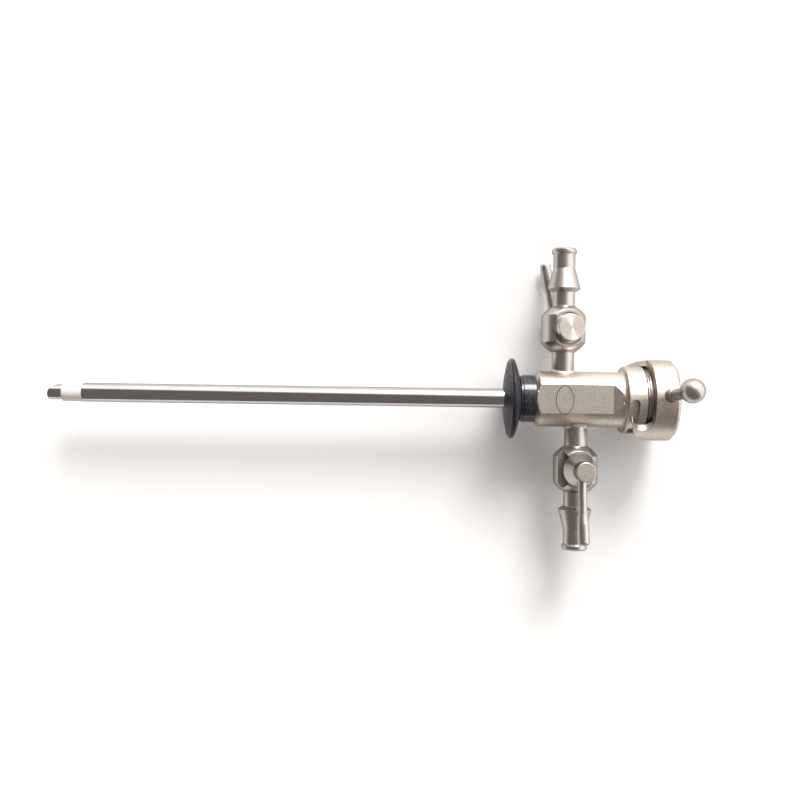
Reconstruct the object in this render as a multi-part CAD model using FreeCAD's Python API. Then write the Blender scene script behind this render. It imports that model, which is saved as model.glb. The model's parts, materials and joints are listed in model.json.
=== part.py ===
import FreeCAD, Part
import math
import os

os.makedirs("parts", exist_ok=True)
Vector = FreeCAD.Vector
X_AXIS = Vector(1, 0, 0)
Y_AXIS = Vector(0, 1, 0)
Z_AXIS = Vector(0, 0, 1)
ORIGIN = Vector(0, 0, 0)

# Resectoscope sheath, in millimetres. The tube runs along X with its tip towards -X,
# and X = 0 is the proximal face of the lock, on the tube's axis. +Z is up, away from
# the table that the sheath lies on. Angles round the tube start at +Z and grow towards +Y.

# Fits
film = 0.02            # solder or cement film between fixed round pieces
running = 0.05         # radial play of what turns
side_play = 0.10       # play of a pin or a washer in its groove
shake = 0.05           # axial play between turning faces

# Tubes and tip
channel_r = 2.9        # bore of the inner tube
inner_wall = 0.3
return_gap = 0.35      # ring-shaped passage between the two tubes
outer_wall = 0.45
working_length = 191.8
beak_length = 5.8
beak_round = 4.1       # the beak's upper side is cut back by this quarter round
beak_seat = 4.0
ceramic_length = 8.6
ceramic_step = 0.05    # the ceramic stands this much below the tube
ceramic_edge = 0.6
ceramic_spigot = 1.5
tube_edge = 0.15
tube_seat_step = 0.2   # the tube is turned down this much where the disc and hub hold it

# Guard disc and collar
disc_r = 16.95
disc_rim = 2.4
disc_thickness = 6.4
disc_front_rise = 1.8
disc_land = 2.0
disc_boss_r = 8.0
disc_front_sag = 0.3   # how far along its rise the front's curve is, half way out
disc_back_sag = 0.35
collar_r = 10.0
collar_length = 6.2
collar_lip_length = 1.0
collar_lip_drop = 0.4

# Hub body
hub_r = 11.7
hub_length = 36.9
hub_flat = 10.04       # half the width across the two flats
hub_edge = 1.9
hub_edge_length = 1.6
hub_fillet = 1.2
flat_stop = 5.3        # the flat ends this far ahead of the lock head
ramp_stop = 0.9
nose_r = 6.0
chamber_margin = 2.2   # from a tap's channel to the end of its chamber
lumen_play = 0.2
thread_r = 8.5
thread_length = 9.1

# Lock head
spigot_r = 12.0        # the lock ring turns on this
head_shoulder = 2.2    # the head stands this much above the spigot
head_length = 8.0
head_edge = 0.4
head_bore_play = 0.1
groove_width = 3.2
groove_depth = 1.4
groove_station = 1.25  # from the head's front face to the groove's near side
groove_start = -6.5
groove_sweep = 66.0
socket_r = 8.0
socket_depth = 9.0
funnel_r = 5.4
funnel_length = 2.0

# Seals
oring_section = 0.95
oring_play = 0.1
face_seal_r = 7.4
face_seal_width = 1.5
face_seal_depth = 1.2

# Lock ring
ring_length = 10.4
ring_chamfer = 1.4
spring_room = 2.5      # gap between the lock head and the ring, filled by the wave spring
spring_width = 1.3
spring_turns = 4
spring_notch = 0.5
claw_play = 0.15
claw_thickness = 2.65
claw_reach = 9.4       # how far the claws reach ahead of the ring
claw_middle = -60.0
claw_half = 8.0
claw_belly = 6.6       # the claw's outer curve passes here, half way round
claw_scoop = 3.8       # the scooped side's lowest point
claw_tip = 0.4
lock_travel = 48.0

# Retaining ring and stop pin
clip_station = 1.4
clip_thickness = 1.2
clip_bite = 0.8
clip_stand = 2.2       # the clip stands this much above the spigot
clip_gap_angle = 24.0
clip_eye_r = 0.7
pocket_room = 0.3      # between the clip and the wall of its pocket
stop_pin_r = 1.0
stop_pin_station = 6.7
stop_pin_angle = 188.0
stop_pin_depth = 1.3
stop_pin_sink = 0.15

# Knob
knob_station = 4.3
knob_angle = 7.0
knob_lean = 15.0
knob_reach = 14.3
knob_ball_r = 4.9
knob_boss_r = 2.75
knob_boss_length = 2.3
knob_boss_seat = 1.2
knob_stem_r = 2.5
knob_neck_r = 2.8
knob_neck_length = 1.0
knob_neck_cone = 0.6
knob_edge = 0.3
knob_waist_length = 0.5
knob_sink = 0.9        # the neck meets the ball at this share of the ball's radius
knob_foot_r = 1.2      # a short spigot under the boss centres the knob, inside the ring's wall
knob_foot_depth = 0.7
knob_screw_r = 1.6

# Taps: each lies on a stem, with a tapered plug across it
upper_tap_station = 12.2
upper_tap_turn = 7.0
upper_lever_turn = 7.5
lower_tap_station = 18.0
lower_tap_turn = -3.1
lower_lever_turn = 0.0
tap_reach = 29.4       # from the tube's axis to the plug's axis
tap_ball_r = 10.8      # the body is a ball, turned down to a cylinder round its middle
tap_body_r = 9.25
tap_body_end = 9.6
tap_body_flat = 7.5    # from the flow axis to the flat faces under the cap and the lever
tap_socket_depth = 2.0
tap_recess_r = 6.7
tap_recess_floor = 6.0
stem_r = 4.7
stem_spigot_r = 3.8
stem_spigot_depth = 3.1
stem_bore_r = 2.0
hub_port_r = 1.5

# Hose nozzle, measured outwards from the plug's axis
nozzle_neck_end = 15.6
nozzle_barb = 17.0
nozzle_barb_r = 7.0
nozzle_taper_end = 25.5
nozzle_straight_r = 4.65
nozzle_lip = 31.5
nozzle_lip_r = 5.3
nozzle_end = 34.1
nozzle_bore_r = 2.5

# Plug, measured along its own axis from the flow axis
plug_small_r = 4.6
plug_large_r = 5.4
plug_bore_r = 2.0
plug_shank_r = 2.8
plug_shank_extra = 1.0  # the shank ends this far beyond the lever hub's cone
stud_r = 2.5
stud_end = 10.9
cap_r = 5.55
cap_base = 8.0
cap_top = 12.0
cap_edge = 0.2
washer_r = 6.3
washer_thickness = 0.8
spring_washer_r = 5.2
spring_washer_rise = 0.5
spring_washer_thickness = 0.4

# Lever
lever_hub_r = 7.0
lever_hub_base = 7.9
lever_hub_rim = 0.8
lever_cone_end = 13.0
lever_stub_r = 4.1
lever_stub_end = 18.5
lever_stub_edge = 0.3
lever_rise = 8.0       # degrees that the lever leans away from the tap
lever_start = 11.2
lever_rod_r = 1.8
lever_rod_root = 1.0
grip_start = 17.9
grip_cone_end = 21.7
grip_end = 30.2
grip_r = 2.45
grip_start_wall = 0.25
grip_round = 1.2
grip_seat = 6.0

# Stop of the lever: a lug under its hub travels in a notch in the tap body
lever_travel = 90.0
lug_half = 5.0         # degrees, half the lug's width
lug_play = 0.5         # degrees left at each end of the travel
lug_inner_r = 6.2
notch_inner_r = 6.0
notch_floor = 4.0      # from the flow axis to the notch's floor
notch_middle = 180.0   # the notch faces -X
lug_clearance = 0.4    # between the lug's end and the notch's floor
lug_root = 0.4

# Stations along the tube, from the lock's face towards the tip
ring_front = -ring_length
head_back = ring_front - spring_room
head_front = head_back - head_length
hub_front = head_front - hub_length
collar_front = hub_front - collar_length
disc_front = collar_front - disc_thickness
tip = disc_front - working_length
ceramic_front = tip + beak_length
tube_front = ceramic_front + ceramic_length
thread_front = head_front - thread_length
upper_tap_x = hub_front + upper_tap_station
lower_tap_x = hub_front + lower_tap_station
outer_tube_back = upper_tap_x - chamber_margin
partition_front = upper_tap_x + hub_port_r + running
partition_back = lower_tap_x - hub_port_r - running

# Radii that follow from the tubes and the fits
inner_tube_r = channel_r + inner_wall
outer_bore_r = inner_tube_r + return_gap
outer_r = outer_bore_r + outer_wall
tube_seat_r = outer_r - tube_seat_step
head_bore_r = channel_r + head_bore_play
head_r = spigot_r + head_shoulder
ring_r = head_r + claw_play + claw_thickness
clip_r = spigot_r + clip_stand
pocket_r = clip_r + pocket_room
tap_socket_r = stem_spigot_r + film


def outline_face(points):
    """Close a flat outline in the XY plane; a pair of points stands for an arc's middle and end."""
    edges = []
    here = Vector(*points[0], 0)
    for item in points[1:] + [points[0]]:
        if isinstance(item[0], tuple):
            middle = Vector(*item[0], 0)
            end = Vector(*item[1], 0)
            edges.append(Part.Arc(here, middle, end).toShape())
        else:
            end = Vector(*item, 0)
            if end.isEqual(here, 1e-7):
                continue
            edges.append(Part.makeLine(here, end))
        here = end
    return Part.Face(Part.Wire(edges))


def turned(points):
    """Turn an outline of (station, radius) points about the X axis."""
    return outline_face(points).revolve(ORIGIN, X_AXIS, 360)


def rod(start, end, radius):
    """Make a plain cylinder along X."""
    return Part.makeCylinder(radius, end - start, Vector(start, 0, 0), X_AXIS)


def pipe(start, end, outer, inner):
    """Make a plain tube along X."""
    return turned([(start, inner), (start, outer), (end, outer), (end, inner)])


def turn_about(shape, axis, angle):
    """Return a copy turned about an axis through the origin."""
    copy = shape.copy()
    copy.rotate(ORIGIN, axis, angle)
    return copy


def round_tube(shape, angle):
    """Turn a piece made at the top of the tube to its angle, from +Z towards +Y."""
    return turn_about(shape, X_AXIS, -angle)


def across(shape):
    """Stand a piece that was turned along X upright, along +Z."""
    return turn_about(shape, Y_AXIS, -90)


def along_flow(shape):
    """Lay a piece that was turned along X along +Y, a tap's flow axis."""
    return turn_about(shape, Z_AXIS, 90)


def prism(points, low, high):
    """Pull an outline in the XY plane up from one height to another."""
    face = outline_face(points)
    face.translate(Vector(0, 0, low))
    return face.extrude(Vector(0, 0, high - low))


def ring_stretch(low, high, inner, outer, middle, half):
    """A stretch of ring round the Z axis: between two heights and two radii, to each side of an angle."""
    band = outline_face([(inner, low), (outer, low), (outer, high), (inner, high)])
    band.rotate(ORIGIN, X_AXIS, 90)
    return turn_about(band.revolve(ORIGIN, Z_AXIS, 2 * half), Z_AXIS, middle - half)


def arc_groove(station, width, floor_r, top_r, start, sweep):
    """Cut for a round-ended groove that runs round the tube between two radii."""
    half = width / 2
    band = outline_face([(station - half, floor_r), (station - half, top_r),
                         (station + half, top_r), (station + half, floor_r)])
    # The band starts at +Y, which is the angle 90, and is swept towards +Z.
    band = round_tube(band.revolve(ORIGIN, X_AXIS, sweep), start - 90)
    inside = rod(station - width, station + width, floor_r)
    end = Part.makeCylinder(half, 2 * top_r, Vector(station, 0, 0), Z_AXIS).cut(inside)
    ends = [round_tube(end, start), round_tube(end, start - sweep)]
    outside = pipe(station - width, station + width, 3 * top_r, top_r)
    return band.fuse(ends).cut(outside)


def both_sides(shape):
    """Give a piece and its copy half a turn round the tube."""
    return [shape, round_tube(shape, 180)]


# Tubes and tip


def make_outer_tube():
    return turned([(tube_front, outer_bore_r), (tube_front, outer_r - tube_edge),
                   (tube_front + tube_edge, outer_r), (disc_front, outer_r),
                   (disc_front, tube_seat_r), (outer_tube_back, tube_seat_r),
                   (outer_tube_back, outer_bore_r)])


def make_inner_tube():
    return pipe(ceramic_front + beak_seat, partition_back, inner_tube_r, channel_r)


def make_insulating_tip():
    ring_outer = outer_r - ceramic_step
    bore = inner_tube_r + film
    bend = ceramic_edge * (1 - math.sqrt(0.5))
    return turned([(ceramic_front, bore), (ceramic_front, ring_outer - ceramic_edge),
                   ((ceramic_front + bend, ring_outer - bend),
                    (ceramic_front + ceramic_edge, ring_outer)),
                   (tube_front, ring_outer), (tube_front, outer_bore_r - film),
                   (tube_front + ceramic_spigot, outer_bore_r - film),
                   (tube_front + ceramic_spigot, bore)])


def make_beak():
    sleeve = pipe(tip, ceramic_front + beak_seat, inner_tube_r, channel_r)
    reach = inner_tube_r * 2
    corner = inner_tube_r - beak_round
    knee = beak_round * (1 - math.sqrt(0.5))
    cutter = prism([(tip - reach, corner), (tip, corner),
                    ((tip + knee, inner_tube_r - knee), (tip + beak_round, inner_tube_r)),
                    (tip + beak_round, reach), (tip - reach, reach)], -reach, reach)
    return sleeve.cut(cutter)


# Guard disc and collar


def make_guard_disc():
    back = collar_front
    rim_front = disc_front + disc_front_rise
    rim_back = rim_front + disc_rim
    rim_r = disc_r - disc_rim / 2
    mouth = tube_seat_r + film
    front_mid_r = (rim_r + mouth) / 2
    back_mid_r = (rim_r + disc_boss_r) / 2
    front_mid = disc_front + disc_front_rise * disc_front_sag
    back_mid = back - (back - rim_back) * disc_back_sag
    disc = turned([(disc_front, 0), (disc_front, mouth + film),
                   ((front_mid, front_mid_r), (rim_front, rim_r)),
                   ((rim_front + disc_rim / 2, disc_r), (rim_back, rim_r)),
                   ((back_mid, back_mid_r), (back, disc_boss_r)), (back, 0)])
    bore = rod(disc_front - 1, back + 1, mouth)
    nose_pocket = rod(disc_front + disc_land, back + 1, nose_r + film)
    return disc.cut(bore).cut(nose_pocket)


def make_collar():
    bore = nose_r + film
    lip_end = collar_front + collar_lip_length
    return turned([(collar_front, bore), (collar_front, collar_r - collar_lip_drop),
                   (lip_end, collar_r - collar_lip_drop), (lip_end, collar_r),
                   (hub_front, collar_r), (hub_front, bore)])


# Hub body


def hub_blank():
    bend = hub_fillet * (1 - math.sqrt(0.5))
    nose_front = disc_front + disc_land + side_play
    return turned([(nose_front, 0), (nose_front, nose_r), (hub_front, nose_r),
                   (hub_front, hub_r - hub_edge), (hub_front + hub_edge_length, hub_r),
                   (head_front - hub_fillet, hub_r),
                   ((head_front - bend, hub_r + bend), (head_front, hub_r + hub_fillet)),
                   (head_front, 0)])


def hub_bores():
    seal_pocket = thread_front - 2 * oring_section - 2 * oring_play
    start = disc_front
    cuts = [rod(start, partition_front, tube_seat_r + film),
            rod(start, partition_back, inner_tube_r + film),
            rod(partition_back, thread_front, inner_tube_r + lumen_play),
            rod(seal_pocket, thread_front, head_bore_r + 2 * oring_section + 2 * oring_play),
            rod(thread_front - side_play, head_front + 1, thread_r + film)]
    return cuts


def hub_port(station, side):
    """Drill a tap's channel and its stem's socket into the hub from one side."""
    floor = hub_r - stem_spigot_depth
    channel = rod(0, hub_r, hub_port_r)
    socket = rod(floor, hub_r + hub_edge, stem_spigot_r + film)
    port = along_flow(channel.fuse(socket))
    if side < 0:
        port = round_tube(port, 180)
    port.translate(Vector(station, 0, 0))
    return port


def flat_cutter():
    """Cut for the upper flat: level along the hub, then a ramp up to the lock head."""
    over = 2 * hub_r
    side = prism([(hub_front - 1, hub_flat), (head_front - flat_stop, hub_flat),
                  (head_front - ramp_stop, hub_r + side_play),
                  (head_front - ramp_stop, over), (hub_front - 1, over)], -hub_r, hub_r)
    return turn_about(side, X_AXIS, 90)


def make_hub_body():
    body = hub_blank()
    for cut in hub_bores():
        body = body.cut(cut)
    body = body.cut(hub_port(upper_tap_x, 1)).cut(hub_port(lower_tap_x, -1))
    for flat in both_sides(flat_cutter()):
        body = body.cut(flat)
    return body


# Lock head, its seals and its retaining ring


def make_lock_head():
    clip_front = -clip_station - clip_thickness - shake
    clip_back = -clip_station + shake
    clip_floor = spigot_r - clip_bite
    blank = turned([(thread_front, 0), (thread_front, thread_r), (head_front, thread_r),
                    (head_front, head_r - head_edge), (head_front + head_edge, head_r),
                    (head_back - head_edge, head_r), (head_back, head_r - head_edge),
                    (head_back, spigot_r), (clip_front, spigot_r), (clip_front, clip_floor),
                    (clip_back, clip_floor), (clip_back, spigot_r), (0, spigot_r), (0, 0)])
    floor = -socket_depth
    seal_floor = floor - face_seal_depth
    bore = rod(thread_front - 1, 1, head_bore_r)
    funnel = turned([(floor - funnel_length, 0), (floor - funnel_length, head_bore_r),
                     (floor, funnel_r), (floor, 0)])
    socket = rod(floor, 1, socket_r)
    seal_room = pipe(seal_floor, floor, face_seal_r + film, face_seal_r - face_seal_width - film)
    head = blank.cut(bore).cut(funnel).cut(socket).cut(seal_room)
    station = head_front + groove_station + groove_width / 2
    groove = arc_groove(station, groove_width, head_r - groove_depth, head_r + 1,
                        groove_start, groove_sweep)
    for cut in both_sides(groove):
        head = head.cut(cut)
    track = arc_groove(-stop_pin_station, 2 * (stop_pin_r + side_play),
                       spigot_r - stop_pin_depth - side_play, spigot_r + 1,
                       stop_pin_angle + lock_travel + 1, lock_travel + 2)
    return head.cut(track)


def make_body_seal():
    middle = thread_front - oring_section - oring_play
    return Part.makeTorus(head_bore_r + oring_section + oring_play, oring_section,
                          Vector(middle, 0, 0), X_AXIS)


def make_face_seal():
    floor = -socket_depth
    return pipe(floor - face_seal_depth, floor - running, face_seal_r, face_seal_r - face_seal_width)


def make_retaining_ring():
    back = -clip_station
    front = back - clip_thickness
    inner = spigot_r - clip_bite + film
    clip = pipe(front, back, clip_r, inner)
    half = math.radians(clip_gap_angle / 2)
    far = clip_r * 2
    gap = prism([(0, 0), (far * math.cos(half), far * math.sin(half)),
                 (far * math.cos(half), -far * math.sin(half))], front - 1, back + 1)
    clip = clip.cut(turn_about(gap, Y_AXIS, 90))
    eye = rod(front - 1, back + 1, clip_eye_r)
    eye.translate(Vector(0, 0, -(inner + clip_r) / 2))
    for side in (-1, 1):
        clip = clip.cut(round_tube(eye, side * (clip_gap_angle / 2 + 5)))
    return clip


def make_lock_spring():
    front = head_back
    back = ring_front - shake
    inner = spigot_r + side_play
    pitch = (back - front) / spring_turns
    points = [(front, inner), (front, inner + spring_width - spring_notch)]
    for turn in range(spring_turns):
        crest = front + (turn + 0.5) * pitch
        points.append((crest, inner + spring_width))
        points.append((front + (turn + 1) * pitch, inner + spring_width - spring_notch))
    points.append((back, inner))
    return turned(points)


# Lock ring


def claw():
    """One hooked claw: its outer side is a long curve and its inner side is scooped."""
    front = ring_front - claw_reach
    root = ring_front + 1
    scoop_middle = (front + ring_front) / 2
    blade = prism([(ring_front, -claw_half),
                   ((ring_front - claw_belly, 0), (front, claw_half - claw_tip)),
                   (front + claw_tip, claw_half),
                   ((scoop_middle, claw_scoop), (ring_front, claw_half + claw_tip)),
                   (root, claw_half + claw_tip), (root, -claw_half)], 0, ring_r * 2)
    blade = round_tube(blade, claw_middle)
    return blade.common(pipe(front - 1, root, ring_r, head_r + claw_play))


def knob_frame(shape):
    """Move a piece turned along X, with its base at X = 0, onto the ring at the knob's lean."""
    piece = turn_about(shape, Y_AXIS, -(90 - knob_lean))
    piece.translate(Vector(-knob_station, 0, ring_r))
    return round_tube(piece, knob_angle)


def make_lock_ring():
    bore_r = spigot_r + running
    pocket_floor = -clip_station - clip_thickness - 2 * shake
    body = turned([(ring_front, bore_r), (ring_front, ring_r), (-ring_chamfer, ring_r),
                   (0, ring_r - ring_chamfer), (0, pocket_r), (pocket_floor, pocket_r),
                   (pocket_floor, bore_r)])
    ring = body.fuse(both_sides(claw())).removeSplitter()
    seat = rod(-knob_boss_seat, knob_boss_length, knob_boss_r + film)
    foot = rod(-knob_boss_seat - knob_foot_depth - film, 0, knob_foot_r + film)
    ring = ring.cut(knob_frame(seat)).cut(knob_frame(foot))
    hole = Part.makeCylinder(stop_pin_r + film, ring_r, Vector(-stop_pin_station, 0, spigot_r / 2))
    return ring.cut(round_tube(hole, stop_pin_angle))


def make_stop_pin():
    low = spigot_r - stop_pin_depth
    pin = Part.makeCylinder(stop_pin_r, ring_r - stop_pin_sink - low, Vector(-stop_pin_station, 0, low))
    return round_tube(pin, stop_pin_angle)


def make_knob_stem():
    neck_start = knob_reach - knob_ball_r - knob_neck_length
    neck_end = knob_reach - knob_ball_r * knob_sink
    waist = knob_stem_r - knob_edge
    waist_end = knob_boss_length + knob_waist_length
    root = -knob_boss_seat - knob_foot_depth
    stem = turned([(root, 0), (root, knob_foot_r), (-knob_boss_seat, knob_foot_r),
                   (-knob_boss_seat, knob_boss_r), (knob_boss_length - knob_edge, knob_boss_r),
                   (knob_boss_length, knob_boss_r - knob_edge), (knob_boss_length, waist),
                   (waist_end, waist), (waist_end, knob_stem_r),
                   (neck_start, knob_stem_r), (neck_start + knob_neck_cone, knob_neck_r),
                   (neck_end, knob_neck_r), (neck_end, knob_screw_r),
                   (knob_reach, knob_screw_r), (knob_reach, 0)])
    return knob_frame(stem)


def make_knob_ball():
    neck_end = knob_reach - knob_ball_r * knob_sink
    ball = Part.makeSphere(knob_ball_r, Vector(knob_reach, 0, 0))
    ball = ball.cut(rod(0, neck_end, knob_ball_r))
    return knob_frame(ball.cut(rod(0, knob_reach + side_play, knob_screw_r + film)))


# Taps, made with the flow along +Y and the cap towards +Z, the lever towards -Z


def make_stem():
    """The short pipe from the hub to the tap; its foot is saddled onto the round hub."""
    foot = hub_r - stem_spigot_depth - tap_reach
    shoulder = -tap_body_end
    outer = along_flow(rod(foot, shoulder, stem_r))
    hub_side = Part.makeCylinder(hub_r + film, 4 * stem_r, Vector(-2 * stem_r, -tap_reach, 0), X_AXIS)
    outer = outer.cut(hub_side)
    spigot = along_flow(rod(foot + film, shoulder + tap_socket_depth, stem_spigot_r))
    bore = along_flow(rod(foot - 1, 0, stem_bore_r))
    return outer.fuse(spigot).removeSplitter().cut(bore)


def taper_r(height):
    """The plug's radius at a height along its axis; it is thicker on the lever's side."""
    share = (tap_recess_floor - height) / (tap_recess_floor + tap_body_flat)
    return plug_small_r + (plug_large_r - plug_small_r) * share


def ball_r(distance):
    """The radius of the tap body's ball at a distance from its middle, along the flow."""
    return math.sqrt(tap_ball_r ** 2 - distance ** 2)


def tap_blank():
    """The ball, turned down round its middle and with a flat under the cap and the lever."""
    end = tap_body_end
    straight = ball_r(tap_body_r)
    knee = (straight + end) / 2
    blank = along_flow(turned([(-end, 0), (-end, ball_r(end)),
                               ((-knee, ball_r(knee)), (-straight, tap_body_r)),
                               (straight, tap_body_r), ((knee, ball_r(knee)), (end, ball_r(end))),
                               (end, 0)]))
    size = 4 * tap_body_r
    return blank.common(Part.makeBox(size, size, 2 * tap_body_flat,
                                     Vector(-size / 2, -size / 2, -tap_body_flat)))


def make_tap_body():
    body = tap_blank().cut(along_flow(rod(-tap_body_end - 1, tap_body_end + 1, stem_bore_r)))
    socket_floor = tap_body_end - tap_socket_depth
    for start, stop in ((socket_floor, tap_body_end), (-tap_body_end, -socket_floor)):
        body = body.cut(along_flow(rod(start, stop, tap_socket_r)))
    body = body.cut(across(rod(tap_recess_floor, tap_body_flat + 1, tap_recess_r)))
    notch_half = lever_travel / 2 + lug_half + lug_play
    body = body.cut(ring_stretch(-tap_body_flat - 1, -notch_floor, notch_inner_r, 2 * tap_body_r,
                                 notch_middle, notch_half))
    low, high = -tap_body_flat - 1, tap_recess_floor + 1
    hole = turned([(low, 0), (low, taper_r(low) + running), (high, taper_r(high) + running), (high, 0)])
    return body.cut(across(hole))


def make_nozzle():
    lip_edge = nozzle_lip_r - nozzle_straight_r
    end = nozzle_end
    nozzle = turned([(tap_body_end - tap_socket_depth, nozzle_bore_r),
                     (tap_body_end - tap_socket_depth, stem_spigot_r),
                     (tap_body_end, stem_spigot_r), (tap_body_end, stem_r),
                     (nozzle_neck_end, stem_r), (nozzle_barb, nozzle_barb_r),
                     (nozzle_taper_end, nozzle_straight_r), (nozzle_lip, nozzle_straight_r),
                     (nozzle_lip + lip_edge, nozzle_lip_r), (end - lip_edge, nozzle_lip_r),
                     (end, nozzle_lip_r - lip_edge), (end, nozzle_bore_r)])
    return along_flow(nozzle)


def lever_frame(shape):
    """Move a piece turned along X, from the plug's axis, to the lever's place and lean."""
    piece = turn_about(along_flow(shape), X_AXIS, -lever_rise)
    piece.translate(Vector(0, 0, -lever_start))
    return piece


def lever_hole():
    return lever_frame(rod(-lever_rod_root - film, grip_end, lever_rod_r + film))


def make_plug():
    low, high = -tap_body_flat - side_play, tap_recess_floor - side_play
    shank_end = -lever_cone_end - plug_shank_extra
    plug = turned([(shank_end, 0), (shank_end, plug_shank_r), (low, plug_shank_r),
                   (low, taper_r(low)), (high, taper_r(high)), (high, stud_r),
                   (stud_end, stud_r), (stud_end, 0)])
    plug = across(plug)
    plug = plug.cut(along_flow(rod(-2 * plug_large_r, 2 * plug_large_r, plug_bore_r)))
    return plug.cut(lever_hole())


def make_lever_hub():
    base, top = -lever_hub_base, -lever_stub_end
    shank_floor = -lever_cone_end - plug_shank_extra - film
    hub = turned([(base, 0), (base, lever_hub_r), (base - lever_hub_rim, lever_hub_r),
                  (-lever_cone_end, lever_stub_r), (top + lever_stub_edge, lever_stub_r),
                  (top, lever_stub_r - lever_stub_edge), (top, 0)])
    hub = across(hub.cut(rod(shank_floor, base + 1, plug_shank_r + film)))
    lug = ring_stretch(base - lug_root, -notch_floor - lug_clearance, lug_inner_r, lever_hub_r,
                       notch_middle - lever_travel / 2, lug_half)
    return hub.fuse(lug).removeSplitter().cut(lever_hole())


def make_lever_rod():
    return lever_frame(rod(-lever_rod_root, grip_start + grip_seat, lever_rod_r))


def make_lever_grip():
    bend = grip_round * (1 - math.sqrt(0.5))
    grip = turned([(grip_start, 0), (grip_start, lever_rod_r + grip_start_wall), (grip_cone_end, grip_r),
                   (grip_end - grip_round, grip_r),
                   ((grip_end - bend, grip_r - bend), (grip_end, grip_r - grip_round)),
                   (grip_end, 0)])
    return lever_frame(grip.cut(rod(0, grip_start + grip_seat + side_play, lever_rod_r + film)))


def make_tap_washer():
    low = tap_recess_floor + side_play
    return across(pipe(low, low + washer_thickness, washer_r, stud_r + film))


def make_spring_washer():
    """A dished spring washer between the flat washer and the cap."""
    low = tap_recess_floor + side_play + washer_thickness
    rise, thick = spring_washer_rise, spring_washer_thickness
    inner, outer = stud_r + film, spring_washer_r
    dish = turned([(low + rise, inner), (low, outer), (low + thick, outer),
                   (low + rise + thick, inner)])
    return across(dish)


def make_tap_cap():
    cap = turned([(cap_base, 0), (cap_base, cap_r), (cap_top - cap_edge, cap_r),
                  (cap_top, cap_r - cap_edge), (cap_top, 0)])
    return across(cap.cut(rod(cap_base - 1, stud_end + side_play, stud_r + film)))


fixed_tap_pieces = {
    "stem": make_stem,
    "tap_body": make_tap_body,
    "nozzle": make_nozzle,
}

turning_tap_pieces = {
    "plug": make_plug,
    "lever_hub": make_lever_hub,
    "lever_rod": make_lever_rod,
    "lever_grip": make_lever_grip,
    "tap_washer": make_tap_washer,
    "spring_washer": make_spring_washer,
    "tap_cap": make_tap_cap,
}


def tap_nodes(name, station, side, body_turn, lever_turn):
    """Make one tap's pieces and put them on the hub; side is 1 above the tube and -1 below."""
    nodes = {}
    for pieces, turn in ((fixed_tap_pieces, 0), (turning_tap_pieces, lever_turn)):
        for piece, make in pieces.items():
            shape = turn_about(make(), Z_AXIS, turn)
            if piece != "stem":
                shape.rotate(ORIGIN, Y_AXIS, body_turn)
            shape.translate(Vector(0, tap_reach, 0))
            if side < 0:
                shape = round_tube(shape, 180)
            shape.translate(Vector(station, 0, 0))
            nodes[name + "_" + piece] = shape
    return nodes


nodes = {
    "outer_tube": make_outer_tube(),
    "inner_tube": make_inner_tube(),
    "insulating_tip": make_insulating_tip(),
    "beak": make_beak(),
    "guard_disc": make_guard_disc(),
    "collar": make_collar(),
    "hub_body": make_hub_body(),
    "lock_head": make_lock_head(),
    "body_seal": make_body_seal(),
    "face_seal": make_face_seal(),
    "retaining_ring": make_retaining_ring(),
    "lock_spring": make_lock_spring(),
    "lock_ring": make_lock_ring(),
    "stop_pin": make_stop_pin(),
    "knob_stem": make_knob_stem(),
    "knob_ball": make_knob_ball(),
}
nodes.update(tap_nodes("upper", upper_tap_x, 1, upper_tap_turn, upper_lever_turn))
nodes.update(tap_nodes("lower", lower_tap_x, -1, lower_tap_turn, lower_lever_turn))

for node, shape in nodes.items():
    solids = shape.Solids
    print(node, len(solids), "solid(s)", round(shape.Volume, 2), "mm3", shape.isValid())
    shape.exportStep("parts/" + node + ".step")
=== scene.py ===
# %% [markdown]
# A resectoscope sheath is a long steel tube with a hub at the user's end. On the hub sit two water
# taps, a guard disc and a lock. The model that this script loads already has every piece at its real
# size and place, so the script's work is the looks: surfaces, finishes, light and camera.

# %% Load the model
import json
import math
import bpy
import numpy as np
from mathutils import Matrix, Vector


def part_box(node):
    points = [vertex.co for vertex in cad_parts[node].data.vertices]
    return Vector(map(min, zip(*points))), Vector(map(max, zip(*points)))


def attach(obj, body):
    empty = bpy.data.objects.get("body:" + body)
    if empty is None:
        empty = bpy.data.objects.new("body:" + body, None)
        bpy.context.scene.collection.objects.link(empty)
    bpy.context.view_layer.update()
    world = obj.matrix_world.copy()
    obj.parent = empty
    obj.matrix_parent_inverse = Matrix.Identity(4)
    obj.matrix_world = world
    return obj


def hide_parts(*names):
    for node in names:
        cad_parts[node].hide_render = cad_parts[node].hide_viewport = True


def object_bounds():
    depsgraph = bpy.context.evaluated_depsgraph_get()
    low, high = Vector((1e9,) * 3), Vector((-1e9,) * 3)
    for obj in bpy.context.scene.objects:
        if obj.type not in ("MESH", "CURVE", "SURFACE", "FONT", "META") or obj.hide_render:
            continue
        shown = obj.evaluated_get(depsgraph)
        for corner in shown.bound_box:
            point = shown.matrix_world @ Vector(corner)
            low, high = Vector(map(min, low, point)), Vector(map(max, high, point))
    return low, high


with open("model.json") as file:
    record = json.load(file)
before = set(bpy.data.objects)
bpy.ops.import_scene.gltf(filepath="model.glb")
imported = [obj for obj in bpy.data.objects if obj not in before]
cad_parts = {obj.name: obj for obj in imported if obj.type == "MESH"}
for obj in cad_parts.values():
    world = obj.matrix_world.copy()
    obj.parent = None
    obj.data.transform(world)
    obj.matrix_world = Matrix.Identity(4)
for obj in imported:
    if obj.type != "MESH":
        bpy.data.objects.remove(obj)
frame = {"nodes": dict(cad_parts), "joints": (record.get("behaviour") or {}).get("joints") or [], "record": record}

cad_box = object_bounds()
nodes = frame["nodes"]

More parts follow.
